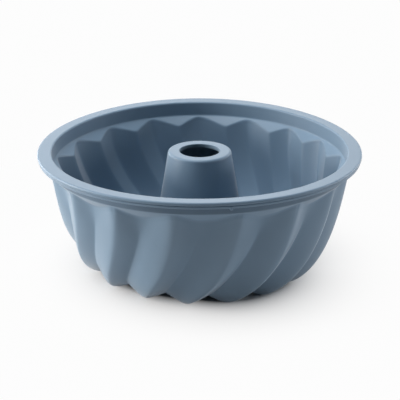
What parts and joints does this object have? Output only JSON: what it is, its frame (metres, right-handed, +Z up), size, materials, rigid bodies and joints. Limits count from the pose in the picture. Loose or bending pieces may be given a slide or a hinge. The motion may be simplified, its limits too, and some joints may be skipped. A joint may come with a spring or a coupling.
{
  "type": "fluted tube pan",
  "caption": "Round silicone baking pan with sweeping flutes, a flat stiffened rim and a hollow centre tube, for baking ring-shaped cakes.",
  "frame": {"origin": "on the table, at the middle of the pan, below the centre tube", "axes": "+Z up along the centre tube; +X through the foot of one flute; the picture was taken from close to -Y"},
  "size_m": [0.24, 0.24, 0.0915],
  "materials": {
    "silicone": "smooth matte silicone, blue-grey",
    "steel": "drawn stainless wire"
  },
  "bodies": {
    "root": {"silicone_moulding": "silicone", "rim_hoop": "steel"}
  },
  "joints": []
}
